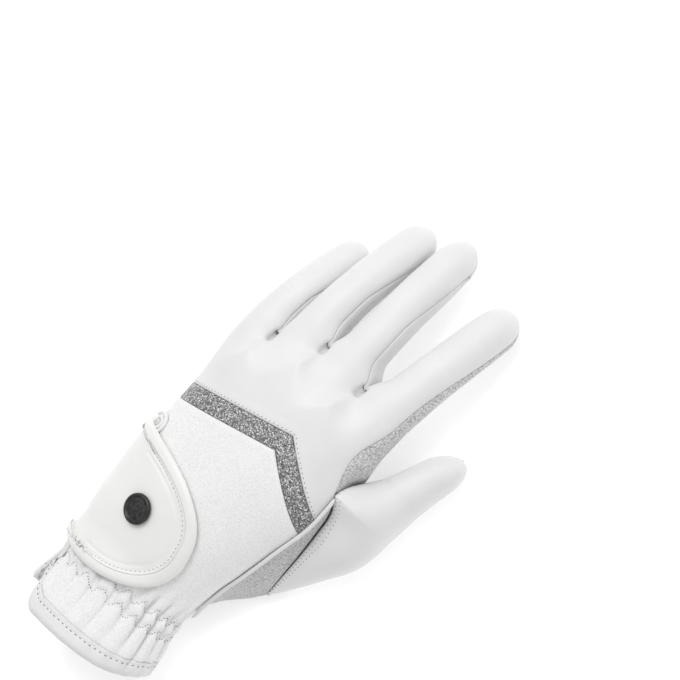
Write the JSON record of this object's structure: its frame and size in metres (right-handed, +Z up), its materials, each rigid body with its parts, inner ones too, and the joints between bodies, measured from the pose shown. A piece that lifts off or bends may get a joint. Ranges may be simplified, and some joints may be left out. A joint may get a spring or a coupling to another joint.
{
  "type": "horse riding glove",
  "caption": "Left-hand horse riding glove lying palm down, with a gathered elastic cuff, a rounded closure tab with a snap button and a glitter chevron across the back.",
  "frame": {"origin": "centre of the glove's outline seen from above, at the surface it lies on", "axes": "+Y from the cuff to the fingertips, +X to the thumb's side, +Z up, out of the back of the hand"},
  "size_m": [0.116, 0.2454, 0.0476],
  "materials": {
    "white_leather": "smooth, satin",
    "stretch_fabric": "fine stretch knit, matte",
    "strip_fabric": "grained, light grey",
    "glitter": "silver glitter on a grey ground",
    "dark_metal": "dark, polished"
  },
  "bodies": {
    "root": {"glitter_band": "glitter", "back_upper": "white_leather", "back_lower": "stretch_fabric", "slit_binding": "white_leather", "hem_binding": "white_leather", "cuff_palm": "stretch_fabric", "palm_panel": "white_leather", "index_tip_patch": "white_leather", "index_side_strip": "strip_fabric", "fourchette_little_ring": "white_leather", "fourchette_ring_middle": "white_leather", "fourchette_middle_index": "white_leather", "thumb_leather": "white_leather", "thumb_palm_strip": "strip_fabric", "thumb_tip_patch": "white_leather", "gusset_panel": "stretch_fabric", "closure_tab": "white_leather", "tab_rim": "white_leather", "piping": "white_leather", "snap_button": "dark_metal"}
  },
  "joints": []
}
